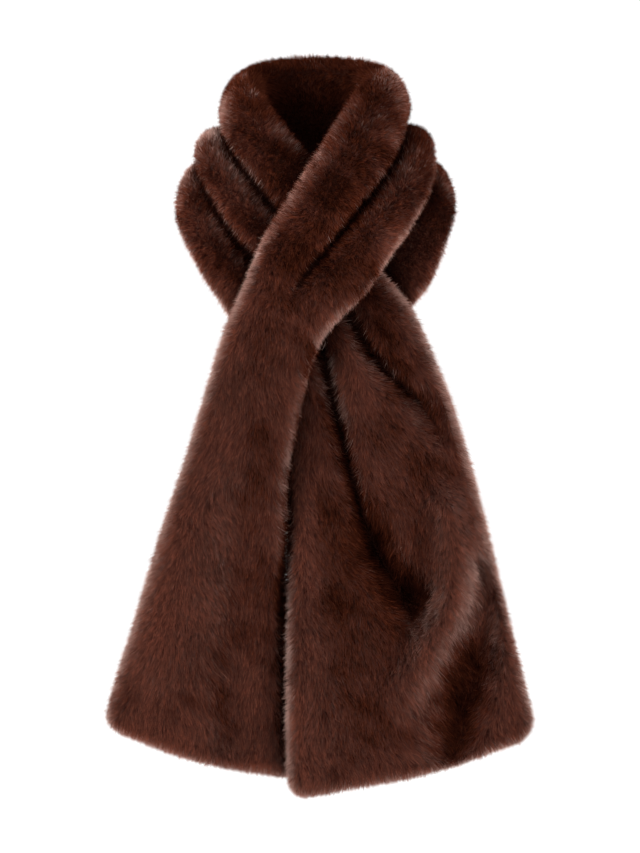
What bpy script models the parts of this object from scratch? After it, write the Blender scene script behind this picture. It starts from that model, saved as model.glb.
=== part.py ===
"""Fur collar wrap: one long band of brown fake fur, worn round an unseen neck.

The band is pleated lengthwise into rolls that lap like shingles. It goes round the back of the
neck, its two ends cross in front and fan out into wide hanging tails. The end from +X passes over
the end from -X. Metres, +Z up, the front at -Y, the origin in the middle of the neck opening.

Each stretch of the band is a loft. Its table has a row for each section, with the points of the
section's rails: its two edges and the creases between its rolls, all on the band's middle surface.
"""

from collections import namedtuple
from math import exp, hypot, inf, sqrt

import bmesh
import bpy
import numpy as np

MM = 0.001

# Driving sizes, in millimetres.
SEAM_GAP = 0.3  # between two stretches that meet
SIDE_SEAM_Y = -10.0  # where the stretch behind the neck meets the front ones, on both sides
PLEAT_GAP = 0.8  # between the over stretch's lower edge and the pleat that goes on below it
ROLL_SHOULDER = 28.0  # how far from its crease a roll is full
TAIL_SHOULDER = 19.0  # how far from its edge a tail is full
LAP_LEAN = 0.34  # how far a roll leans over the next one, as a share of its height
HEM_ROUND = 17.0  # how far above its hem a tail starts to thin
HEM_LEFT = 0.22  # the share of the thickness left at the very hem
HEM_CORNER = 24.0  # the radius of a tail's corners
MOST_SHOULDER = 0.42  # of a roll's width
SECTIONS_A_ROW = 2  # sections lofted from one row of a table to the next
FOLDED_SECTIONS_A_ROW = 4  # the same, where a tail has soft folds
HEM_ROOM = 0.3  # the least space before a hem's own sections, as a share of their usual space
SLOPE_STEP = 0.02  # of a row or of a rail, each way, over which a slope is taken

# Places up a roll's shoulder, along a tail's crown, and up from a hem, each as a share.
SHOULDER_STEPS = (0.07, 0.27, 0.6, 1.0)
CROWN_STEPS = (0.25, 0.5, 0.75)
HEM_STEPS = (1.0, 0.65, 0.37, 0.15, 0.04, 0.0)

FUR_BROWN = (0.055, 0.016, 0.010, 1.0)
FUR_ROUGHNESS = 0.85

# A row is one section: its neck edge, first crease, second crease and outer edge as (x, y, z), its
# thickness, and how deep its creases are as shares of half that thickness.
Section = namedtuple("Section", "place neck_edge crease_1 crease_2 outer_edge thick depth_1 depth_2")

LEFT_BACK = Section(
    "left back", (-43, 73, 58), (-49, 83, -10), (-57, 92, -62), (-64, 97, -120), 45, 1.0, 1.0
)
LEFT_SHOULDER = Section(
    "left shoulder", (-70, 38, 50), (-81, 43, -12), (-98, 46, -60), (-112, 48, -118), 45, 1.0, 1.0
)
LEFT_SIDE = Section(
    "left side", (-78, -10, 41), (-91, -10, -17), (-119, -10, -54), (-133, -10, -108), 45, 1.0, 1.0
)
BACK = Section("back", (0, 84, 61), (0, 95, -9), (0, 106, -63), (0, 112, -121), 45, 1.0, 1.0)
RIGHT_BACK = Section(
    "right back", (43, 73, 58), (49, 83, -10), (57, 92, -62), (64, 97, -120), 45, 1.0, 1.0
)
RIGHT_SHOULDER = Section(
    "right shoulder", (68, 38, 51), (79, 43, -12), (96, 46, -59), (110, 48, -117), 45, 1.0, 1.0
)
RIGHT_SIDE = Section(
    "right side", (73, -10, 44), (86, -10, -14), (116, -10, -52), (134, -10, -110), 45, 1.0, 1.0
)

UNDER_FRONT = (
    Section("front 1", (-69, -44, 28), (-91, -48, -38), (-123, -47, -74), (-139, -45, -130), 44, 1, 1),
    Section("front 2", (-56, -64, 11), (-79, -70, -60), (-110, -69, -102), (-139, -65, -150), 43, 1, 1),
    Section("front 3", (-40, -75, -11), (-62, -82, -84), (-94, -82, -130), (-128, -77, -175), 42, 1, 1),
    Section("front 4", (-22, -82, -33), (-44, -88, -107), (-76, -89, -153), (-114, -84, -200), 41, 1, 1),
    Section("crossing 1", (0, -87, -62), (-22, -92, -132), (-54, -93, -178), (-97, -89, -226), 39, 1, 1),
    Section("crossing 2", (28, -91, -105), (2, -94, -168), (-32, -95, -212), (-84, -92, -256), 38, 1, 1),
    Section("crossing 3", (52, -93, -148), (24, -95, -202), (-10, -96, -240), (-75, -94, -290), 38, 1, 1),
    Section("fan", (76, -95, -182), (42, -96, -230), (6, -97, -268), (-66, -95, -325), 37, 1, 1),
    Section("tail 1", (102, -96, -214), (66, -97, -272), (19, -98, -314), (-55, -96, -365), 36, 1, 1),
    Section("tail 2", (122, -96, -253), (94, -97, -300), (31, -99, -362), (-42, -98, -412), 35, 0.7, 1),
    Section("tail 3", (146, -96, -312), (124, -97, -330), (46, -100, -425), (-34.4, -106, -462), 34, 0.1, 0.9),
    Section("tail 4", (169, -96, -385), (144, -97, -410), (65, -101, -478), (-34.4, -114, -510), 33, 0, 0.7),
    Section("tail 5", (189, -96, -462), (158, -97, -494), (92, -103, -532), (-34.4, -124, -570), 32, 0, 0.3),
    Section("tail 6", (211, -96, -555), (173, -97, -586), (112, -104, -608), (-35, -131, -635), 32, 0, 0),
    Section("tail 7", (232, -96, -640), (184, -97, -664), (122, -105, -684), (-34, -133, -702), 32, 0, 0),
    Section("hem", (243, -96, -687), (196, -97, -707), (114, -105, -733), (-33, -134, -759), 32, 0, 0),
)

# The over stretch has two rolls: its outer edge is its second crease.
OverSection = namedtuple("OverSection", "place neck_edge crease_1 outer_edge thick depth_1")
OVER_FRONT = (
    OverSection("front 1", (55, -50, 36), (85, -50, -34), (122, -50, -74), 44, 1),
    OverSection("front 2", (37, -78, 14), (77, -86, -58), (115, -82, -100), 43, 1),
    OverSection("front 3", (20, -103, -14), (60, -113, -86), (97, -107, -132), 43, 1),
    OverSection("front 4", (0, -124, -46), (38, -132, -113), (77, -125, -161), 42, 1),
    OverSection("crossing 1", (-21, -134, -78), (16, -140, -142), (54, -132, -197), 41, 0.95),
    OverSection("crossing 2", (-41, -138, -110), (-6, -143, -168), (31, -136, -221), 40, 0.7),
    OverSection("crossing 3", (-59, -140, -138), (-23, -143, -190), (14, -137, -240), 39, 0.3),
    OverSection("fan", (-71, -140, -167), (-35, -143, -213), (2, -137, -258), 38, 0),
    OverSection("tail 1", (-86, -140, -203), (-46, -143, -238), (-6, -137, -278), 36, 0),
    OverSection("tail 2", (-105, -139, -247), (-60, -142, -272), (-13, -137, -304), 35, 0),
    OverSection("tail 3", (-127, -137, -320), (-77, -141, -334), (-23, -135, -350), 34, 0),
    OverSection("tail 4", (-150, -134, -395), (-94, -139, -401), (-33, -129, -407), 33, 0),
    OverSection("tail 5", (-174, -131, -467), (-107, -135, -470), (-34.8, -116, -470), 32, 0),
    OverSection("tail 6", (-199, -128, -550), (-120, -131, -556), (-34.6, -103, -560), 32, 0),
    OverSection("tail 7", (-224, -125, -630), (-130, -127, -645), (-27, -97, -655), 32, 0),
    OverSection("hem", (-236, -123, -678), (-130, -124, -717), (-16, -97, -738), 32, 0),
)

# The lowest roll on the +X side has one roll between two edges.
PleatSection = namedtuple("PleatSection", "place upper_edge lower_edge thick")
PLEAT_FRONT = (
    PleatSection("front 1", (111, -37, -82), (142, -36, -134), 42),
    PleatSection("front 2", (94, -46, -114), (138, -44, -160), 40),
    PleatSection("front 3", (78, -50, -142), (124, -50, -192), 38),
    PleatSection("behind the tail 1", (62, -50, -170), (102, -51, -220), 34),
    PleatSection("behind the tail 2", (50, -49, -198), (80, -49, -244), 28),
)

# Soft folds that move both faces of a tail: a trough is deep, a ridge has a depth below zero.
Fold = namedtuple("Fold", "band path depth half_width")
FOLDS = (
    Fold("under", ((188, -505), (184, -550), (170, -608), (154, -662), (146, -700)), 18, 25),
    Fold("under", ((145, -434), (158, -495), (150, -545), (124, -587), (92, -637)), -11, 23),
    Fold("under", ((66, -472), (88, -506), (104, -534)), 16, 23),
    Fold("under", ((117, -316), (129, -338)), 7, 15),
    Fold("over", ((-88, -430), (-93, -560), (-96, -690)), 8, 27),
    Fold("over", ((-148, -470), (-172, -600)), -6, 28),
)

# One length of cloth: its rails as an array of rows by rails by x, y and z, the depth of the creases
# in each row, the thickness of each row, and whether its outer face is on the right of its run.
Band = namedtuple("Band", "name rails depths thick facing")


def band(name, rows, rail_columns, depth_columns, facing):
    def table(columns):
        return np.array([[getattr(row, column) for column in columns] for row in rows], float)

    return Band(name, table(rail_columns), table(depth_columns), table(["thick"])[:, 0], facing)


def curve_at(points, place):
    """The point at place on a smooth curve through points, which lie at 0, 1, 2 and so on."""
    if len(points) == 2:
        return points[0] + (points[1] - points[0]) * place
    first = min(max(int(place), 0), len(points) - 2)
    start, end = points[first], points[first + 1]
    before = points[first - 1] if first else 2 * start - end
    after = points[first + 2] if first + 2 < len(points) else 2 * end - start
    t = place - first
    bend = 2 * before - 5 * start + 4 * end - after
    twist = 3 * start - before - 3 * end + after
    return start + 0.5 * ((end - before) * t + bend * t**2 + twist * t**3)


def value_at(values, place):
    """The value at place on straight lines between values, which lie at 0, 1, 2 and so on."""
    first = min(max(int(place), 0), len(values) - 2)
    return values[first] + (values[first + 1] - values[first]) * (place - first)


def unit(vector):
    return vector / np.linalg.norm(vector)


def shoulder(share):
    """How far below its crown a roll's surface is at a share of its shoulder: a quarter circle."""
    return 1 - sqrt(share * (2 - share)) if share < 1 else 0.0


def distance_to_path(x, z, path):
    """How far (x, z) lies from a path of straight runs."""
    nearest = inf
    for (x1, z1), (x2, z2) in zip(path, path[1:]):
        run = hypot(x2 - x1, z2 - z1)
        along = ((x - x1) * (x2 - x1) + (z - z1) * (z2 - z1)) / run**2
        along = min(max(along, 0.0), 1.0)
        nearest = min(nearest, hypot(x - x1 - along * (x2 - x1), z - z1 - along * (z2 - z1)))
    return nearest


def fold_depth(name, point):
    """How far a band's soft folds push its middle surface in at a point."""
    return sum(
        fold.depth * exp(-((distance_to_path(point[0], point[2], fold.path) / fold.half_width) ** 2))
        for fold in FOLDS
        if fold.band == name
    )


def places_across(widths, reach, crown_steps):
    """The places across a section: its edges and creases, and those on each roll between them."""
    places = [0.0]
    for roll, width in enumerate(widths):
        wide = min(reach / width, MOST_SHOULDER)
        places += [roll + wide * share for share in SHOULDER_STEPS]
        places += [roll + wide + (1 - 2 * wide) * share for share in crown_steps]
        places += [roll + 1 - wide * share for share in reversed(SHOULDER_STEPS)]
        places.append(roll + 1.0)
    return places


def section(cloth, place, crown_steps, from_hem=inf):
    """The points of one section: its outer face from edge to edge, and its inner face."""
    rolls = len(cloth.rails[0]) - 1
    depths = value_at(cloth.depths, place)
    deepest = max(depths, default=1.0)
    reach = TAIL_SHOULDER + (ROLL_SHOULDER - TAIL_SHOULDER) * deepest
    half = value_at(cloth.thick, place) / 2 * max(1 - shoulder(from_hem / HEM_ROUND), HEM_LEFT)
    inset = HEM_CORNER * shoulder(from_hem / HEM_CORNER)
    rails_here = curve_at(cloth.rails, place)
    widths = np.linalg.norm(np.diff(rails_here, axis=0), axis=1)

    def middle(along, across):
        if across < 1:
            across += inset / widths[0] * (1 - across)
        if across > rolls - 1:
            across -= inset / widths[-1] * (across - rolls + 1)
        return curve_at(curve_at(cloth.rails, along), across)

    outer, inner = [], []
    for across in places_across(widths, reach, crown_steps):
        roll = min(int(across), rolls - 1)
        wide = min(reach / widths[roll], MOST_SHOULDER)
        edge_drop = crease_drop = 0.0
        for crease, away in ((roll, across - roll), (roll + 1, roll + 1 - across)):
            if crease in (0, rolls):
                edge_drop += shoulder(away / wide)
            else:
                crease_drop += depths[crease - 1] * shoulder(away / wide)
        at = middle(place, across)
        down = unit(middle(place, across + SLOPE_STEP) - middle(place, across - SLOPE_STEP))
        along = unit(middle(place + SLOPE_STEP, across) - middle(place - SLOPE_STEP, across))
        out = cloth.facing * unit(np.cross(along, down))
        at = at - out * fold_depth(cloth.name, at)
        height = half * max(1 - edge_drop - crease_drop, 0.0)
        outer.append(at + (out + down * LAP_LEAN * deepest) * height)
        inner.append(at - out * half * (1 - edge_drop))
    return np.array(outer + inner[-2:0:-1])


def seam_plane(cloth, place):
    """The plane of the seam at a place, through the section there: its point, and its normal."""
    here, ahead = curve_at(cloth.rails, place), curve_at(cloth.rails, place + SLOPE_STEP)
    across = unit(here[-1] - here[0])
    along = (ahead - here).mean(axis=0)
    return here.mean(axis=0), unit(along - (along @ across) * across)


def set_back(ring, plane, neighbour):
    """Flattens an end's ring onto the plane of its seam, and sets it back by half the seam's gap."""
    centre, normal = plane
    inward = np.sign((neighbour - ring).mean(axis=0) @ normal)
    heights = (ring - centre) @ normal
    return ring + np.outer(inward * SEAM_GAP / 2 - heights, normal)


def places_along(cloth, first, last, hem, a_row):
    """The places of the sections from one row to another, and how far each is from a hem."""
    places = [first + i / a_row for i in range((last - first) * a_row + 1)]
    if not hem:
        return [(place, inf) for place in places]
    middle_rail = cloth.rails[:, len(cloth.rails[0]) // 2]
    row_length = float(np.linalg.norm(middle_rail[-1] - middle_rail[-2]))
    near = [(last - HEM_CORNER * share / row_length, HEM_CORNER * share) for share in HEM_STEPS]
    last_plain = near[0][0] - HEM_ROOM / a_row
    return [(place, inf) for place in places if place < last_plain] + near


def loft(rings, node, hem):
    """A closed solid through the rings, with flat ends, or a last one that follows a curved hem."""
    bm = bmesh.new()
    rings = [[bm.verts.new(point * MM) for point in ring] for ring in rings]
    count = len(rings[0])
    for ring, following in zip(rings, rings[1:]):
        for i in range(count):
            bm.faces.new((ring[i - 1], ring[i], following[i], following[i - 1]))
    bm.faces.new(rings[0])
    if hem:
        last, half = rings[-1], count // 2
        bm.faces.new((last[0], last[1], last[-1]))
        for i in range(1, half - 1):
            bm.faces.new((last[i], last[i + 1], last[-i - 1], last[-i]))
        bm.faces.new((last[half - 1], last[half], last[half + 1]))
    else:
        bm.faces.new(rings[-1])
    bmesh.ops.recalc_face_normals(bm, faces=bm.faces)
    mesh = bpy.data.meshes.new(node)
    bm.to_mesh(mesh)
    bm.free()
    mesh.shade_smooth()
    mesh.materials.append(fur(node))
    piece = bpy.data.objects.new(node, mesh)
    bpy.context.collection.objects.link(piece)
    return piece


def fur(node):
    material = bpy.data.materials.new(f"fur {node}")
    material.use_nodes = True
    shader = material.node_tree.nodes["Principled BSDF"]
    shader.inputs["Base Color"].default_value = FUR_BROWN
    shader.inputs["Roughness"].default_value = FUR_ROUGHNESS
    material.diffuse_color = FUR_BROWN
    return material


def stretch(node, cloth, first, last, start_seam, end_seam=None, a_row=SECTIONS_A_ROW, crown_steps=()):
    """Builds one stretch of a band, from its row first to its row last, where a seam or hem ends it."""
    hem = end_seam is None
    places = places_along(cloth, first, last, hem, a_row)
    rings = [section(cloth, place, crown_steps, from_hem) for place, from_hem in places]
    rings[0] = set_back(rings[0], start_seam, rings[1])
    if not hem:
        rings[-1] = set_back(rings[-1], end_seam, rings[-2])
    return loft(rings, node, hem)


def main():
    for old in list(bpy.data.objects):
        bpy.data.objects.remove(old)

    four_rails = ("neck_edge", "crease_1", "crease_2", "outer_edge")
    two_depths = ("depth_1", "depth_2")
    side_seam = np.array((0, SIDE_SEAM_Y, 0)), np.array((0, -1, 0))

    around = (LEFT_SIDE, LEFT_SHOULDER, LEFT_BACK, BACK, RIGHT_BACK, RIGHT_SHOULDER, RIGHT_SIDE)
    back = band("back", around, four_rails, two_depths, 1)
    stretch("neck_back", back, 0, len(around) - 1, side_seam, side_seam)

    left = (BACK, LEFT_BACK, LEFT_SHOULDER, LEFT_SIDE)
    rows = (*left, *UNDER_FRONT)
    under = band("under", rows, four_rails, two_depths, -1)
    side = rows.index(LEFT_SIDE)
    crossing = [row.place for row in rows].index("crossing 3")
    crossing_seam = seam_plane(under, crossing)
    stretch("under_collar", under, side, crossing, side_seam, crossing_seam)
    folded = {"a_row": FOLDED_SECTIONS_A_ROW, "crown_steps": CROWN_STEPS}
    stretch("under_tail", under, crossing, len(rows) - 1, crossing_seam, **folded)

    right = (BACK, RIGHT_BACK, RIGHT_SHOULDER, RIGHT_SIDE)
    upper_rolls = [
        OverSection(row.place, row.neck_edge, row.crease_1, row.crease_2, row.thick, row.depth_1)
        for row in right
    ]
    rows = (*upper_rolls, *OVER_FRONT)
    over = band("over", rows, ("neck_edge", "crease_1", "outer_edge"), ("depth_1",), 1)
    side = right.index(RIGHT_SIDE)
    crossing = [row.place for row in rows].index("fan")
    crossing_seam = seam_plane(over, crossing)
    stretch("over_collar", over, side, crossing, side_seam, crossing_seam)
    stretch("over_tail", over, crossing, len(rows) - 1, crossing_seam, **folded)

    lowest_roll = [PleatSection(row.place, row.crease_2, row.outer_edge, row.thick) for row in right]
    rows = (*lowest_roll, *PLEAT_FRONT)
    pleat = band("pleat", rows, ("upper_edge", "lower_edge"), (), 1)
    pleat.rails[:, 0] += (0, 0, -PLEAT_GAP)
    stretch("tucked_pleat", pleat, side, len(rows) - 1, side_seam)


main()
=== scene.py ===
"""The looks of the fur collar wrap: its backing cloth, its fur, and the studio round it.

Each CAD node is replaced by a skin, which is the dense underfur on its backing cloth and lies a
little under the node's surface, and by the strands that stand out of it. Each strand is a slim
triangle from two roots in the skin to a tip near the surface. Metres, +Z up, the front at -Y.
"""

from collections import namedtuple
from math import cos, radians, sin

import bpy
import numpy as np
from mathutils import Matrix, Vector
from mathutils.bvhtree import BVHTree

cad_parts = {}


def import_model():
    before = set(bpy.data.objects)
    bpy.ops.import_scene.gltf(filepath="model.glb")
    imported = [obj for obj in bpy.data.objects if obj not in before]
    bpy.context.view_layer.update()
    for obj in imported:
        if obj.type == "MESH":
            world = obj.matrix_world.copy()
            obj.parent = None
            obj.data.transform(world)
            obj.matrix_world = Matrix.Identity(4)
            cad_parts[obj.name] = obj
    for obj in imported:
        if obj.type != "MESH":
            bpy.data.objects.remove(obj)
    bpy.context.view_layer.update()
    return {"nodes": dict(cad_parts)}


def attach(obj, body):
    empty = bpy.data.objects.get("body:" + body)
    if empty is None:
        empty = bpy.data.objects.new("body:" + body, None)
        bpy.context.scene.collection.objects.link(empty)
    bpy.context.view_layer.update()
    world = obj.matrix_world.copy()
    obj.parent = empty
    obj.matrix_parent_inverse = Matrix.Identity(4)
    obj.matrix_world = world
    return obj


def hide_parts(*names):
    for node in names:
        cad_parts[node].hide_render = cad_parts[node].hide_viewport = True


MM = 0.001
TINY = 1e-12  # the least length that a vector is divided by
SEED = 20  # of the strands and of the lay's swirls
TUFT_SEED, SHINE_SEED, BROAD_SEED, PATCH_SEED, FLECK_SEED = 23, 26, 28, 29, 30

# One stretch of the wrap: its CAD node, the flat size of the cloth that shows on one of its faces
# and that cloth's area, how it is held, the strands on the faces that look away from the neck and
# towards it, and where its fur fans out from lower down.
Stretch = namedtuple("Stretch", "node flat area held outer_strands inner_strands apex")
OVER_APEX, UNDER_APEX = (-0.045, -0.12, -0.02), (-0.045, -0.10, 0.02)
STRETCHES = (
    Stretch("neck_back", (0.184, 0.337), 0.059, "gathered", 110000, 64000, UNDER_APEX),
    Stretch("over_collar", (0.143, 0.300), 0.037, "gathered", 98000, 24000, OVER_APEX),
    Stretch("tucked_pleat", (0.068, 0.171), 0.0096, "gathered", 24000, 8000, UNDER_APEX),
    Stretch("under_collar", (0.195, 0.253), 0.042, "gathered", 106000, 28000, UNDER_APEX),
    Stretch("over_tail", (0.232, 0.515), 0.075, "hung", 148000, 58000, OVER_APEX),
    Stretch("under_tail", (0.290, 0.529), 0.120, "hung", 197000, 92000, UNDER_APEX),
)

# The skin under the fur.
WELD = 0.01 * MM  # the step of the grid on which points in one place are found
PILE = 9.0 * MM  # how deep the skin lies under the fur's surface
MOST_INSET = 0.40  # of the solid's thickness, where that is less
INSET_START = 0.6 * MM  # under the surface, where the ray to the solid's far side starts
INSET_ROUNDS, SKIN_ROUNDS = 2, 3  # of smoothing, of its depth and of its points
ROUNDNESS = 0.75  # how far a point set between two others follows the normals there

# The way that the pile stands.
BROAD_ROUNDS = 60  # of smoothing, for a stretch's broad form and the way that it faces
ROUNDER = 1.3  # how much further than its surface the pile turns from that way
SPREAD, HANGING_SPREAD = 11.0 * MM, 7.5 * MM  # how far the tips lean over where it turns
OUTER_LIMIT = -0.35  # faces that look less far outwards than this are on the inner side

# The way that the pile lies. It stands on the collar, and lies further over lower down.
STANDING_Z, LYING_Z = -0.12, -0.30  # where it begins to, and where it lies as far as it does
STANDING_LAY, LYING_LAY = 2.6 * MM, 7.5 * MM  # how far a tip lies from over its root
LEAST_LAY, MOST_LAY = 0.5, 1.5  # of one strand, as shares of that
LYING_SKY = 0.6  # a place that sees less of the sky than this has a pile that lies less far
ROLL_OUT = 3  # its way on the collar: outwards, for each metre from the middle of the neck
ROLL_DOWN = 0.35  # and downwards
SWIRL, SWIRL_LENGTH = 0.18, 70 * MM  # how far the lay turns from place to place
STRAY = 1.1 * MM  # how far a tip strays along the surface
TUFT, TUFT_LENGTH = 0.9 * MM, 8 * MM  # how far the tips of a tuft lean together
TIP_SPREAD = 1.2 * MM  # how unevenly the tips stand
WAVES = 18  # in a smooth random field
LEAST_PITCH, MOST_PITCH = 0.6, 1.6  # of a wave, as shares of the field's own

# The strands.
STRAND_WIDTH = 0.62 * MM
WIDTH_SPREAD = 0.25
TURN = 0.5  # how far a strand's flat side is turned off the surface at random
GUARD_SHARE = 0.13  # the share of strands that are longer, wider and lighter
GUARD_MORE = 2.6 * MM
GUARD_WIDER = 1.5
SHINE_TUFT, SHINE_SPREAD = 0.16, 0.12  # how far the way they shine turns, by tufts and singly

# How much of the sky a place sees, from rays spread over half a sphere.
SKY_RAYS = 24
SKY_REACH = 70 * MM
SKY_START = 0.8 * MM  # over the surface
SKY_ROUNDS, INNER_ROUNDS = 2, 8  # of smoothing, and of more of it on the inner side
ASLANT = (0.3, 0.5, 0.8)  # any way that no normal has exactly, to set the rays round normals
SPARSE_SKY, SPARSE_SPAN = 0.2, 0.3  # the pile is thinnest below the first, full above their sum
FEWEST = 0.05  # the share of strands where it is thinnest

# Where another stretch is near.
SEAM_REACH = 0.34 * MM  # faces this near another stretch are its seam
MEETING_REACH = 16 * MM  # nearer than this, the strands reach out to close the slit
MEETING_ROUNDS = 1  # of smoothing
MEETING_MORE = 14.0 * MM  # how much longer they are, at most
MEETING_TURN = 4.0  # how much further their flat sides are turned, at most

# The tone of a strand: 1, and more or less by these. Some vary at random, and some are painted
# light and shade, as said at each.
BROAD_TONE, BROAD_LENGTH = 0.08, 120 * MM  # from place to place
PATCH_TONE, PATCH_LENGTH = 0.10, 40 * MM
FLECK_TONE, FLECK_LENGTH = 0.10, 8 * MM
STRAND_TONE = 0.27  # from strand to strand
# Painted highlight on ridges and painted shade in folds of the hanging ends:
RELIEF_TONE, RELIEF_HEIGHT = 0.30, 7 * MM  # on a ridge this far over the broad form
# Painted highlight on a collar's rims and painted shade on its crown:
RIM_TONE = 0.36  # how much lighter a collar's roll is at its rims than on its crown
RIM_SHARE = 0.55  # the part of that which lightens the rims, while the rest darkens the crown
# Painted shade on top of a collar's rolls, in tone and in sheen:
TOP_DARKER = 0.20  # how much darker and duller a collar's roll is on top
GUARD_TONE, SHORT_TONE = 1.45, 0.95  # times these, of the longer strands and of the others
COLLAR_TONE, TAIL_TONE = 1.42, 0.90  # and times these
# Painted shade inside the neck, where the collar faces inwards:
NECK_DARKER = 0.48  # how much darker it is inside the neck, where the collar faces inwards
NECK_EVEN = 0.38  # how far the darkest places in there are drawn to the others
INWARD_START, INWARD_FULL = -0.35, 0.45  # how far inwards it faces where both start and are full
# Painted shade where a place sees little of the sky, as in creases and folds:
SHADY_SKY, SHADY_SPAN = 0.3, 0.66  # darkest below the first, and full above their sum
SHADY_TONE, SHADY_POWER = 0.02, 1.5  # the darkest, and how steeply it gets there
MOST_TONE = 2.5  # at the far end of the strands' map

# The gloss of a strand, which picks its material: the first, and more or less by the others. Some
# of those are painted sheen and painted shade, as said at each.
GLOSS = 0.60
COLLAR_GLOSS = 0.06
# RELIEF_GLOSS is painted sheen, more of it on ridges and less in folds:
BROAD_GLOSS, PATCH_GLOSS, RELIEF_GLOSS = 0.10, 0.12, 0.50
STRAND_GLOSS = 0.25
# Painted sheen on a roll's rims, and less of it on its crown as painted shade:
RIM_GLOSS = 0.40  # how much more there is at a roll's rims than on its crown
# Painted shade inside the neck, as less sheen:
NECK_DULLER = 0.6
# Painted shade as less sheen where a strand sees less of the sky, and none in creases:
LIP_DULLER = 1.0  # how much less there is where none of the sky is seen
CREASE_SKY, CREASE_SPREAD = 0.50, 0.06  # there is none below the first, give or take the other
# The materials are copies of one fur that differ in sheen; the first, without any, is painted
# shade:
GLOSSES = (0.25, 0.62)  # where one material gives way to the next
SHEENS = (0.0, 0.18, 0.54)  # of the materials, from the creases to the glossiest strands

# The strands' map: U runs over the shade of an end, and V from the root to the tip.
MAP_START, MAP_WIDTH = 0.02, 0.96
MAP_HALF_ROOT = 0.006
MAP_ROOT_V, MAP_TIP_V = 0.01, 0.99

# The materials. The browns run from a strand's root to its tip, and over the skin's grain.
FUR_ROUGHNESS = 0.6
SPECULAR_SHARE = 0.2  # of a material's sheen
SPECULAR_TINT = (1.0, 0.6, 0.5, 1.0)
SHEEN_ROUGHNESS = 0.5
SHEEN_TINT = (1.0, 0.65, 0.55, 1.0)
FUR_BROWNS = (
    (0.10, (0.018, 0.0036, 0.0018, 1)),
    (0.55, (0.040, 0.0088, 0.0041, 1)),
    (1.00, (0.088, 0.0220, 0.0114, 1)),
)
SKIN_ROUGHNESS = 0.9
SKIN_SPECULAR = 0.05
SKIN_GRAIN, SKIN_DETAIL = 420, 3
SKIN_BROWNS = (
    (0.35, (0.014, 0.0040, 0.0024, 1)),
    (0.70, (0.036, 0.0105, 0.0062, 1)),
)

# Painted light and shade on the front, laid on in strokes: painted shade in folds, pockets, creases
# and at the slit, and painted highlights and sheen on ridges and lips, with some of the pile's own
# tone. Each makes the pile lighter or darker (tone) and glossier or duller (gloss), along a path of
# (x, z) places and to a radius, in millimetres, on one node or, without a name, on all of them.
Stroke = namedtuple("Stroke", "node path radius tone gloss")
SLIT_RIM = ((4, -240), (-11, -300), (-19, -360), (-30, -440), (-36, -540))
STROKES = (
    Stroke("over_tail", ((-124, -297), (-140, -473), (-173, -583)), 44, 0.16, 0.90),
    Stroke("over_tail", ((-206, -693), (-129, -698), (-52, -722)), 28, 0.38, 0.90),
    Stroke("over_tail", ((-8, -250), (-30, -319), (-38, -363), (-42, -470)), 13, -0.10, -0.10),
    Stroke("over_tail", SLIT_RIM, 8, -0.40, -1.20),
    Stroke("over_tail", ((-84, -610), (-62, -720)), 24, 0.12, 0.50),
    Stroke("over_tail", ((-66, -330), (-64, -495), (-64, -590)), 24, -0.14, -0.20),
    Stroke("over_tail", ((-90, -215), (-104, -260)), 20, 0.26, 0.60),
    Stroke("under_tail", ((-12, -363), (-15, -505)), 17, 0.44, 0.40),
    Stroke("under_tail", ((-19, -649), (-14, -737)), 16, 0.42, 0.60),
    Stroke("under_tail", ((-19, -258), (25, -363), (52, -440), (85, -522)), 11, -0.15, -0.55),
    Stroke("under_tail", ((36, -473), (64, -528), (91, -561)), 18, -0.20, -0.60),
    Stroke("under_tail", ((60, -445), (76, -495), (92, -534)), 24, -0.62, -0.90),
    Stroke("under_tail", ((20, -451), (30, -539)), 26, -0.16, -0.30),
    Stroke("under_tail", ((25, -583), (42, -693)), 34, -0.16, -0.20),
    Stroke("under_tail", ((113, -363), (118, -473)), 22, -0.16, -0.25),
    Stroke("under_tail", ((143, -429), (142, -495), (124, -572), (102, -616)), 18, 0.14, 0.70),
    Stroke("under_tail", ((170, -352), (185, -451), (192, -539)), 16, 0.12, 0.60),
    Stroke("under_tail", ((160, -598), (152, -675)), 25, -0.22, -0.55),
    Stroke("under_tail", ((181, -508), (177, -560)), 14, 0.34, 0.45),
    Stroke("under_tail", ((192, -561), (203, -627), (212, -660)), 14, 0.20, 0.40),
    Stroke("under_tail", ((74, -258), (91, -302), (118, -330)), 16, -0.34, -0.50),
    Stroke("under_tail", ((42, -231), (63, -291)), 10, 0.12, -0.10),
    Stroke("over_collar", ((25, -115), (-19, -165)), 24, -0.14, -0.20),
    Stroke("over_collar", ((25, -167), (74, -165)), 26, -0.20, -0.20),
    Stroke("over_collar", ((-19, -88), (-61, -154), (-85, -209)), 18, 0.28, 0.15),
    Stroke("over_collar", ((50, 30), (75, 60)), 26, -0.30, -0.60),
    Stroke("under_collar", ((-112, -33), (-90, -80), (-110, -190)), 34, 0.22, 0.15),
    Stroke("under_collar", ((-153, -99), (-142, -154)), 14, 0.30, 0.20),
    Stroke("neck_back", ((-74, 66), (3, 74), (78, 55)), 24, -0.20, -0.50),
    Stroke("", ((-88, 42), (-58, 2)), 22, 0.08, -0.45),
    Stroke("", ((108, -8), (122, -40)), 18, -0.06, -0.45),
    Stroke("", ((-106, 12), (-104, -30)), 12, 0.18, 0.30),
)

# They leave out a place that looks less far forwards than the first, and fade in up to the second.
STROKE_SIDE, STROKE_FRONT = -0.5, 0.3

Surface = namedtuple("Surface", "points triangles normals tree")
Coat = namedtuple("Coat", "top skin pile sky near relief")
Strands = namedtuple("Strands", "roots sides tips normals shades glosses")


def units(vectors):
    return vectors / np.maximum(np.linalg.norm(vectors, axis=-1, keepdims=True), TINY)


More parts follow.
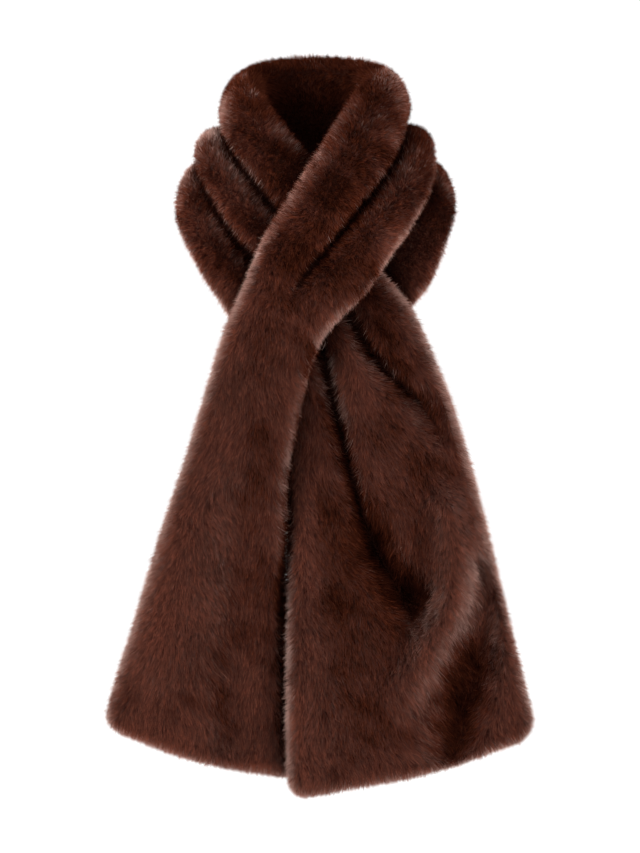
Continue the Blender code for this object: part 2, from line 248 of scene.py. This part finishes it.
def smoothstep(values, low, high):
    share = np.clip((values - low) / (high - low), 0, 1)
    return share * share * (3 - 2 * share)


def cross_products(points, triangles):
    corners = points[triangles]
    return np.cross(corners[:, 1] - corners[:, 0], corners[:, 2] - corners[:, 0])


def sides_of(triangles):
    """The sides of triangles as pairs of points: first all their first sides, then the others."""
    return np.concatenate([triangles[:, [0, 1]], triangles[:, [1, 2]], triangles[:, [2, 0]]])


def point_normals(points, triangles):
    """The normals at a mesh's points, weighted by the area of the faces round them."""
    normals = np.zeros_like(points)
    faces = cross_products(points, triangles)
    for corner in range(3):
        np.add.at(normals, triangles[:, corner], faces)
    return units(normals)


def surface(points, triangles):
    tree = BVHTree.FromPolygons(points.tolist(), triangles.tolist(), all_triangles=True)
    return Surface(points, triangles, point_normals(points, triangles), tree)


def cad_surface(node):
    """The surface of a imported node, with the points that share a place made one."""
    mesh = node.data
    mesh.calc_loop_triangles()
    points = np.empty(len(mesh.vertices) * 3, np.float32)
    mesh.vertices.foreach_get("co", points)
    corners = np.empty(len(mesh.loop_triangles) * 3, np.int32)
    mesh.loop_triangles.foreach_get("vertices", corners)
    keys = np.round(points.reshape(-1, 3) / WELD).astype(np.int64)
    _, first, same = np.unique(keys, axis=0, return_index=True, return_inverse=True)
    triangles = same.reshape(-1)[corners].reshape(-1, 3)
    return surface(points.reshape(-1, 3)[first].astype(float), triangles)


def all_as_one(surfaces):
    """One surface of several, with their points in the order of the surfaces."""
    surfaces = list(surfaces)
    offsets = np.cumsum([0] + [len(one.points) for one in surfaces])
    points = np.concatenate([one.points for one in surfaces])
    triangles = np.concatenate([one.triangles + o for one, o in zip(surfaces, offsets)])
    return surface(points, triangles)


def free_faces(solid, others):
    """The faces of a solid that aren't on its seams with the other stretches."""
    centres = solid.points[solid.triangles].mean(1)
    outs = units(cross_products(solid.points, solid.triangles))
    free = np.ones(len(centres), bool)
    for i, (centre, out) in enumerate(zip(centres, outs)):
        free[i] = others.tree.ray_cast(Vector(centre), Vector(out), SEAM_REACH)[0] is None
    return solid.triangles[free]


def refined(points, triangles):
    """A mesh with each of its faces cut in four. The old points keep their places in the list."""
    normals = point_normals(points, triangles)
    edges, which = np.unique(np.sort(sides_of(triangles), axis=1), axis=0, return_inverse=True)
    middles = points[edges].mean(1)
    drops = ((middles[:, None] - points[edges]) * normals[edges]).sum(2, keepdims=True)
    middles -= ROUNDNESS * (drops * normals[edges]).mean(1)
    ab, bc, ca = which.reshape(3, -1) + len(points)
    a, b, c = triangles.T
    quarters = np.concatenate([(a, ab, ca), (ab, b, bc), (ca, bc, c), (ab, bc, ca)], axis=1).T
    return surface(np.concatenate([points, middles]), quarters)


def open_border(top):
    """Which points of a surface lie on its border, where another stretch goes on."""
    sides = np.sort(sides_of(top.triangles), axis=1)
    edges, times = np.unique(sides, axis=0, return_counts=True)
    border = np.zeros((len(top.points), 1), bool)
    border[edges[times == 1]] = True
    return border


def smoothed(values, triangles, rounds):
    """The values at a mesh's points, each drawn halfway to its neighbours' mean, in rounds."""
    edges = sides_of(triangles)
    edges = np.unique(np.concatenate([edges, edges[:, ::-1]]), axis=0)
    shares = np.maximum(np.bincount(edges[:, 0], minlength=len(values))[:, None], 1)
    for _ in range(rounds):
        sums = np.zeros_like(values)
        np.add.at(sums, edges[:, 0], values[edges[:, 1]])
        values = 0.5 * values + 0.5 * sums / shares
    return values


def skin_points(top, solid):
    """The points of the skin under a surface, one for each of the surface's points."""
    depths = np.empty((len(top.points), 1))
    for i, (point, normal) in enumerate(zip(top.points, top.normals)):
        inward = Vector(-normal)
        far = solid.tree.ray_cast(Vector(point) + inward * INSET_START, inward)[3]
        depths[i] = min(PILE, MOST_INSET * (far or PILE))
    depths = smoothed(depths, top.triangles, INSET_ROUNDS)
    skin = top.points - top.normals * depths
    return np.where(open_border(top), skin, smoothed(skin, top.triangles, SKIN_ROUNDS))


def away_from_neck(points):
    """The way that the outer side faces: away from the neck on the collar, and forwards below."""
    away = units(points * (1, 1, 0))
    return away + (np.array((0, -1, 0)) - away) * lying(points)


def facing_out(points, normals):
    """How far normals at points look outwards, from -1 to 1."""
    return (normals * away_from_neck(points)).sum(1)


def pile_normals(top):
    """The way that the pile stands: a surface's normals, turned further over rolls and edges."""
    facing = facing_out(top.points, top.normals)[:, None]
    turned = top.normals.copy()
    for side in (1, -1):
        share = np.clip(side * facing, 0, 1)
        broad = units(smoothed(top.normals * share, top.triangles, BROAD_ROUNDS))
        turned += ROUNDER * np.sqrt(share) * (top.normals - broad)
    return units(turned)


def openness(top, whole):
    """How open the sky is over each point of a surface, from 0 in a closed crease to 1."""
    turn = np.pi * (1 + 5**0.5) * np.arange(SKY_RAYS)  # by the golden angle
    lift = np.sqrt(1 - (np.arange(SKY_RAYS) + 0.5) / SKY_RAYS)
    flat = np.sqrt(1 - lift**2)
    rays = np.stack([flat * np.cos(turn), flat * np.sin(turn), lift], 1)
    sky = np.empty((len(top.points), 1))
    for i, (point, normal) in enumerate(zip(top.points, top.normals)):
        sideways = units(np.cross(normal, ASLANT))
        basis = np.stack([sideways, np.cross(normal, sideways), normal])
        start = Vector(point + normal * SKY_START)
        blocked = 0.0
        for ray in (rays @ basis).tolist():
            far = whole.tree.ray_cast(start, Vector(ray), SKY_REACH)[3]
            blocked += 1 - far / SKY_REACH if far is not None else 0.0
        sky[i] = 1 - blocked / SKY_RAYS
    sky = smoothed(sky, top.triangles, SKY_ROUNDS)
    inner = facing_out(top.points, top.normals)[:, None] < OUTER_LIMIT
    return np.where(inner, smoothed(sky, top.triangles, INNER_ROUNDS), sky)


def relief(top):
    """How far each point stands over a surface's broad form: -1 in a fold to 1 on a ridge."""
    broad = smoothed(top.points, top.triangles, BROAD_ROUNDS)
    over = ((top.points - broad) * top.normals).sum(1)
    return np.clip(over / RELIEF_HEIGHT, -1, 1)[:, None]


def meetings(top, others):
    """How near another stretch faces each point of a surface, from 0 to 1 where they touch."""
    near = np.zeros((len(top.points), 1))
    for i, (point, normal) in enumerate(zip(top.points, top.normals)):
        far = others.tree.ray_cast(Vector(point), Vector(normal), MEETING_REACH)[3]
        near[i] = 1 - far / MEETING_REACH if far is not None else 0.0
    return smoothed(near, top.triangles, MEETING_ROUNDS)


def waves(points, length, seed):
    """A smooth random field at points, of about unit spread, whose waves are about length long."""
    rng = np.random.default_rng(seed)
    ways = units(rng.normal(size=(WAVES, 3)))
    pitches = ways * rng.uniform(LEAST_PITCH, MOST_PITCH, (WAVES, 1))
    phases = rng.uniform(0, 2 * np.pi, WAVES)
    angles = points @ pitches.T * (2 * np.pi / length) + phases
    return np.sin(angles).sum(1) / np.sqrt(WAVES / 2)


def vector_waves(points, length, seed):
    """The same for each of x, y and z."""
    return np.stack([waves(points, length, seed + axis) for axis in range(3)], 1)


def lying(points):
    """How far the pile lies over at points, from 0 on the collar to 1 on the hanging ends."""
    return smoothstep(-points[:, 2:], -STANDING_Z, -LYING_Z)


def lay_direction(apex, points, normals):
    """The way that the pile lies: down a collar's rolls, and fanned out down a hanging end."""
    fanned = units((points - np.array(apex)) * (1, 0, 1))
    rolled = units(points * (1, 1, 0) * ROLL_OUT + (0, 0, -ROLL_DOWN))
    way = rolled + (fanned - rolled) * lying(points)
    way = way + SWIRL * vector_waves(points, SWIRL_LENGTH, SEED)
    return units(way - (way * normals).sum(1, keepdims=True) * normals)


def painted_strokes(node, points, normals):
    """The painted light and shade that the strokes lay on the pile at points of a node, as tone and
    gloss.
    """
    change = np.zeros((len(points), 2))
    places = points[:, ::2]
    front = smoothstep(-normals[:, 1], STROKE_SIDE, STROKE_FRONT)
    for stroke in STROKES:
        if stroke.node not in ("", node):
            continue
        path = np.array(stroke.path) * MM
        far = np.full(len(points), np.inf)
        for start, end in zip(path, path[1:]):
            along = ((places - start) @ (end - start)) / ((end - start) @ (end - start))
            beside = start + np.clip(along, 0, 1)[:, None] * (end - start)
            far = np.minimum(far, np.linalg.norm(places - beside, axis=1))
        share = np.exp(-((far / (stroke.radius * MM)) ** 2)) * front
        change += share[:, None] * (stroke.tone, stroke.gloss)
    return change.T


def nearest(tree, points):
    """The nearest places on a tree's surface to points, their normals and their faces."""
    found = [tree.find_nearest(point) for point in points.tolist()]
    places, normals, faces, _ = zip(*found)
    return np.array(places), np.array(normals), np.array(faces)


def sown(coat, outer, count, rng):
    """The faces that strands grow on, on one side of a coat, as corners and weights of them."""
    top = coat.top
    areas = cross_products(top.points, top.triangles)
    looks_out = facing_out(top.points[top.triangles].mean(1), units(areas)) > OUTER_LIMIT
    shares = np.linalg.norm(areas, axis=1) * (looks_out == outer)
    sky = coat.sky[top.triangles].mean(1)[:, 0]
    thinned = np.clip((sky - SPARSE_SKY) / SPARSE_SPAN, FEWEST, 1)
    shares *= np.maximum(thinned, coat.near[top.triangles].max(1)[:, 0] > 0)
    corners = top.triangles[rng.choice(len(shares), count, p=shares / shares.sum())]
    return corners, rng.dirichlet((1, 1, 1), count)[:, :, None]


def tones_with_painted_light(node, surfaces, ups, collar, heights, guards, sky, rng):
    """Strands' shades at roots and tips, 0 to 1, and materials' numbers, with painted light and
    shade.
    """
    count = len(surfaces)
    broad = waves(surfaces, BROAD_LENGTH, BROAD_SEED)
    patch = waves(surfaces, PATCH_LENGTH, PATCH_SEED)
    fleck = waves(surfaces, FLECK_LENGTH, FLECK_SEED)
    facing = facing_out(surfaces, ups)
    crown = collar * np.clip(facing, 0, 1) ** 2
    # Painted shade on the tops of the collar's rolls.
    painted_top_shade = TOP_DARKER * collar * np.clip(ups[:, 2], 0, 1)
    # Where the neck's painted shade falls.
    inward = collar * smoothstep(-facing, INWARD_START, INWARD_FULL)
    # Painted light and shade from the strokes, as tone and gloss.
    painted_stroke_tone, painted_stroke_gloss = painted_strokes(node, surfaces, ups)

    # Random tone, with painted highlight on ridges and painted shade in folds.
    tones = 1 + BROAD_TONE * broad + PATCH_TONE * patch + RELIEF_TONE * heights + painted_stroke_tone
    # Painted highlight on the rims, and painted shade on the crowns and tops.
    tones += RIM_TONE * (RIM_SHARE * collar - crown) - painted_top_shade
    tones += FLECK_TONE * fleck + rng.normal(0, STRAND_TONE, count)
    kinds = np.where(guards, GUARD_TONE, SHORT_TONE)
    tones *= kinds * (TAIL_TONE + (COLLAR_TONE - TAIL_TONE) * collar)
    # Painted shade inside the neck.
    tones *= 1 - NECK_DARKER * inward
    # Painted shade where a strand's root or tip sees little of the sky.
    painted_sky_shade = np.clip((sky - SHADY_SKY) / SHADY_SPAN, SHADY_TONE, 1) ** SHADY_POWER
    painted_sky_shade += NECK_EVEN * inward[:, None] * (1 - painted_sky_shade)
    shades = np.clip(tones[:, None] * painted_sky_shade / MOST_TONE, 0, 1)

    least_sky = sky.min(1)
    # Painted sheen and shade: more sheen on ridges, rims and strokes, less on crowns, tops, lips
    # and in the neck.
    gloss = GLOSS + COLLAR_GLOSS * collar + BROAD_GLOSS * broad + PATCH_GLOSS * patch
    gloss += RELIEF_GLOSS * heights + painted_stroke_gloss - RIM_GLOSS * crown - painted_top_shade
    single = rng.normal(0, STRAND_GLOSS, count)
    gloss += single - NECK_DULLER * inward - LIP_DULLER * (1 - least_sky)
    # Painted shade in creases: these strands get the material without sheen.
    creased = least_sky < CREASE_SKY + rng.normal(0, CREASE_SPREAD, count)
    return shades, np.digitize(np.where(creased, 0, gloss), GLOSSES)


def grow(stretch, coat, all_tops, all_sky, outer, count):
    """The strands on one side of a stretch. Their tips stand over the nearest stretch there is."""
    top = coat.top
    rng = np.random.default_rng([SEED, len(top.points), outer])
    corners, weights = sown(coat, outer, count, rng)

    def on_coat(values):
        return (values[corners] * weights).sum(1)

    roots, surfaces, ups = on_coat(coat.skin), on_coat(top.points), units(on_coat(top.normals))
    stands = units(on_coat(coat.pile))
    root_sky, near = on_coat(coat.sky), on_coat(coat.near)
    ways = lay_direction(stretch.apex, surfaces, ups)
    lies = lying(surfaces)
    over = np.clip(root_sky / LYING_SKY, 0, 1)
    lay = STANDING_LAY + (LYING_LAY - STANDING_LAY) * lies * over
    spread = SPREAD + (HANGING_SPREAD - SPREAD) * lies
    lean = ways * lay * rng.uniform(LEAST_LAY, MOST_LAY, (count, 1)) + spread * (stands - ups)
    tufts = vector_waves(surfaces, TUFT_LENGTH, TUFT_SEED)
    lean += rng.normal(0, STRAY, (count, 3)) + TUFT * tufts
    places, outs, faces = nearest(all_tops.tree, surfaces + lean)
    tip_sky = all_sky[all_tops.triangles[faces, rng.integers(3, size=count)]]
    guards = rng.random(count) < GUARD_SHARE
    stand = rng.normal(0, TIP_SPREAD, count) + GUARD_MORE * guards
    stand = stand[:, None] + MEETING_MORE * near * rng.random((count, 1))
    tips = places + units(outs + ups) * stand

    turned = (TURN + MEETING_TURN * near) * rng.normal(size=(count, 3))
    aside = units(np.cross(tips - roots, ups + turned))
    widths = STRAND_WIDTH * np.where(guards, GUARD_WIDER, 1) * rng.normal(1, WIDTH_SPREAD, count)
    sides = aside * widths[:, None] / 2
    shining = stands + SHINE_TUFT * vector_waves(surfaces, TUFT_LENGTH, SHINE_SEED)
    shining = units(shining + rng.normal(0, SHINE_SPREAD, (count, 3)))

    heights = (on_coat(coat.relief) * lies)[:, 0]
    sky = np.concatenate([root_sky, tip_sky], 1)
    shades, glosses = tones_with_painted_light(
        stretch.node, surfaces, ups, 1 - lies[:, 0], heights, guards, sky, rng
    )
    return Strands(roots, sides, tips, shining, shades, glosses)


def new_mesh(name, points, triangles, *materials):
    """A piece of the wrap, riding on its one body."""
    mesh = bpy.data.meshes.new(name)
    mesh.vertices.add(len(points))
    mesh.vertices.foreach_set("co", points.astype(np.float32).ravel())
    mesh.loops.add(triangles.size)
    mesh.loops.foreach_set("vertex_index", triangles.astype(np.int32).ravel())
    mesh.polygons.add(len(triangles))
    mesh.polygons.foreach_set("loop_start", np.arange(0, triangles.size, 3, dtype=np.int32))
    mesh.update(calc_edges=True)
    mesh.shade_smooth()
    for material in materials:
        mesh.materials.append(material)
    piece = bpy.data.objects.new(name, mesh)
    bpy.context.collection.objects.link(piece)
    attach(piece, "root")
    return piece


def fur_piece(name, strands, materials):
    """One mesh of all the strands, with their map in two layers that are the same."""
    low, high = strands.roots - strands.sides, strands.roots + strands.sides
    points = np.stack([low, high, strands.tips], 1).reshape(-1, 3)
    triangles = np.arange(len(points)).reshape(-1, 3)
    piece = new_mesh(name, points, triangles, *materials)
    mesh = piece.data
    mesh.polygons.foreach_set("material_index", strands.glosses.astype(np.int32))
    mesh.normals_split_custom_set_from_vertices(np.repeat(strands.normals, 3, 0).tolist())
    root_width = np.array([-MAP_HALF_ROOT, MAP_HALF_ROOT, 0])
    across = MAP_START + MAP_WIDTH * strands.shades[:, [0, 0, 1]] + root_width
    along = np.broadcast_to([MAP_ROOT_V, MAP_ROOT_V, MAP_TIP_V], across.shape)
    places = np.stack([across, along], -1).astype(np.float32).ravel()
    for layer in ("Strand", "OFBake"):
        mesh.uv_layers.new(name=layer).data.foreach_set("uv", places)
    return piece


def new_material(name, roughness, specular):
    """A material, its node tree's nodes and links, and its shader."""
    material = bpy.data.materials.new(name)
    material.use_nodes = True
    nodes, links = material.node_tree.nodes, material.node_tree.links
    shader = nodes["Principled BSDF"]
    shader.inputs["Roughness"].default_value = roughness
    shader.inputs["Specular IOR Level"].default_value = specular
    return material, nodes, links, shader


def new_ramp(nodes, colours):
    """A colour ramp through colours, each with its place."""
    ramp = nodes.new("ShaderNodeValToRGB")
    stops = ramp.color_ramp.elements
    stops[0].position, stops[0].color = colours[0]
    stops[1].position, stops[1].color = colours[-1]
    for place, colour in colours[1:-1]:
        stops.new(place).color = colour
    return ramp


def fur_material(name, sheen):
    """Brown root to tip, times each strand's shade with painted light in it, lit as its pile
    stands.
    """
    material, nodes, links, shader = new_material(name, FUR_ROUGHNESS, SPECULAR_SHARE * sheen)
    shader.inputs["Specular Tint"].default_value = SPECULAR_TINT
    shader.inputs["Sheen Weight"].default_value = sheen
    shader.inputs["Sheen Roughness"].default_value = SHEEN_ROUGHNESS
    shader.inputs["Sheen Tint"].default_value = SHEEN_TINT
    strand = nodes.new("ShaderNodeUVMap")
    strand.uv_map = "Strand"
    parts = nodes.new("ShaderNodeSeparateXYZ")
    links.new(strand.outputs["UV"], parts.inputs["Vector"])

    browns = new_ramp(nodes, FUR_BROWNS)
    links.new(parts.outputs["Y"], browns.inputs["Fac"])
    shade = nodes.new("ShaderNodeMath")
    shade.operation = "MULTIPLY"
    shade.inputs[1].default_value = MOST_TONE
    links.new(parts.outputs["X"], shade.inputs[0])
    tinted = nodes.new("ShaderNodeVectorMath")
    tinted.operation = "SCALE"
    links.new(browns.outputs["Color"], tinted.inputs[0])
    links.new(shade.outputs["Value"], tinted.inputs["Scale"])
    links.new(tinted.outputs["Vector"], shader.inputs["Base Color"])

    # Blender turns the normal of a face that is seen from behind. Here it is times -1 once more.
    place = nodes.new("ShaderNodeNewGeometry")
    side = nodes.new("ShaderNodeMath")
    side.operation = "MULTIPLY_ADD"
    side.inputs[1].default_value, side.inputs[2].default_value = -2.0, 1.0
    links.new(place.outputs["Backfacing"], side.inputs[0])
    turned = nodes.new("ShaderNodeVectorMath")
    turned.operation = "SCALE"
    links.new(place.outputs["Normal"], turned.inputs[0])
    links.new(side.outputs["Value"], turned.inputs["Scale"])
    links.new(turned.outputs["Vector"], shader.inputs["Normal"])
    return material


def skin_material():
    """Dense short underfur, with a fine grain."""
    material, nodes, links, shader = new_material("underfur", SKIN_ROUGHNESS, SKIN_SPECULAR)
    place = nodes.new("ShaderNodeTexCoord")
    noise = nodes.new("ShaderNodeTexNoise")
    noise.inputs["Scale"].default_value = SKIN_GRAIN
    noise.inputs["Detail"].default_value = SKIN_DETAIL
    links.new(place.outputs["Object"], noise.inputs["Vector"])
    browns = new_ramp(nodes, SKIN_BROWNS)
    links.new(noise.outputs["Fac"], browns.inputs["Fac"])
    links.new(browns.outputs["Color"], shader.inputs["Base Color"])
    return material


def dress(stretch, solid, coat, all_tops, all_sky, cloth, fur_materials):
    """Replaces a CAD node with its skin and the fur on both of its sides."""
    skin = coat.skin[: len(solid.points)]
    backing = new_mesh(f"backing_{stretch.node}", skin, solid.triangles, cloth)
    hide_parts(stretch.node)
    for side, outer, count in (
        ("outer", True, stretch.outer_strands),
        ("inner", False, stretch.inner_strands),
    ):
        strands = grow(stretch, coat, all_tops, all_sky, outer, count)
        fur_piece(f"fur_{stretch.node}_{side}", strands, fur_materials)


# The studio: a white floor under a white sky, and broad soft lights. The camera looks at the front
# from far off through a long lens.
VIEW_HEIGHT = 0.938  # what the camera sees from top to bottom, at the front of the collar
VIEW_CENTRE = Vector((0.003, -0.10, -0.348))
VIEW_RISE = radians(1.5)
LENS, SENSOR = 500.0, 36.0
CLIP_END = 200.0
SKY_STRENGTH = 1.05
FLOOR_Z = -0.95
FLOOR_SIDE = 120.0
FLOOR_WHITE, FLOOR_ROUGHNESS, FLOOR_SPECULAR = 0.99, 0.9, 0.5
Lamp = namedtuple("Lamp", "name place size power")
LAMPS = (
    Lamp("key", (-2.1, -1.8, 1.0), 1.6, 112),
    Lamp("fill", (2.4, -0.9, 0.2), 1.6, 60),
    Lamp("back", (0.3, 2.4, 0.5), 1.8, 130),
)


def studio():
    scene = bpy.context.scene
    scene.view_settings.view_transform = "Standard"

    camera = bpy.data.cameras.new("camera")
    camera.lens, camera.sensor_fit, camera.sensor_height = LENS, "VERTICAL", SENSOR
    camera.clip_end = CLIP_END
    eye = bpy.data.objects.new("camera", camera)
    away = Vector((0, -cos(VIEW_RISE), sin(VIEW_RISE)))
    eye.location = VIEW_CENTRE + away * VIEW_HEIGHT * LENS / SENSOR
    eye.rotation_euler = (radians(90) - VIEW_RISE, 0, 0)
    scene.collection.objects.link(eye)
    scene.camera = eye

    world = bpy.data.worlds.new("studio")
    world.use_nodes = True
    sky = world.node_tree.nodes["Background"]
    sky.inputs["Color"].default_value = (1, 1, 1, 1)
    sky.inputs["Strength"].default_value = SKY_STRENGTH
    scene.world = world

    for lamp in LAMPS:
        data = bpy.data.lights.new(lamp.name, "AREA")
        data.size, data.energy = lamp.size, lamp.power
        light = bpy.data.objects.new(lamp.name, data)
        light.location = lamp.place
        light.rotation_euler = (VIEW_CENTRE - light.location).to_track_quat("-Z", "Y").to_euler()
        scene.collection.objects.link(light)

    white, _, _, shader = new_material("white floor", FLOOR_ROUGHNESS, FLOOR_SPECULAR)
    shader.inputs["Base Color"].default_value = (FLOOR_WHITE, FLOOR_WHITE, FLOOR_WHITE, 1)
    half = FLOOR_SIDE / 2
    corners = [(-half, -half), (half, -half), (half, half), (-half, half)]
    mesh = bpy.data.meshes.new("floor")
    mesh.from_pydata([(x, y, FLOOR_Z) for x, y in corners], [], [(0, 1, 2, 3)])
    mesh.materials.append(white)
    floor = bpy.data.objects.new("floor", mesh)
    scene.collection.objects.link(floor)


def main():
    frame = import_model()
    solids = {stretch.node: cad_surface(frame["nodes"][stretch.node]) for stretch in STRETCHES}
    whole = all_as_one(solids.values())
    coats = {}
    for node, solid in solids.items():
        others = all_as_one(other for name, other in solids.items() if name != node)
        top = refined(solid.points, free_faces(solid, others))
        coats[node] = Coat(
            top, skin_points(top, solid), pile_normals(top), openness(top, whole),
            meetings(top, others), relief(top),
        )
    all_tops = all_as_one(coat.top for coat in coats.values())
    all_sky = np.concatenate([coat.sky for coat in coats.values()])
    cloth = skin_material()
    # Copies of one fur with more or less sheen, for painted sheen and painted shade.
    furs = [fur_material(f"fur strands {i}", sheen) for i, sheen in enumerate(SHEENS)]
    for stretch in STRETCHES:
        node = stretch.node
        dress(stretch, solids[node], coats[node], all_tops, all_sky, cloth, furs)
    studio()


main()
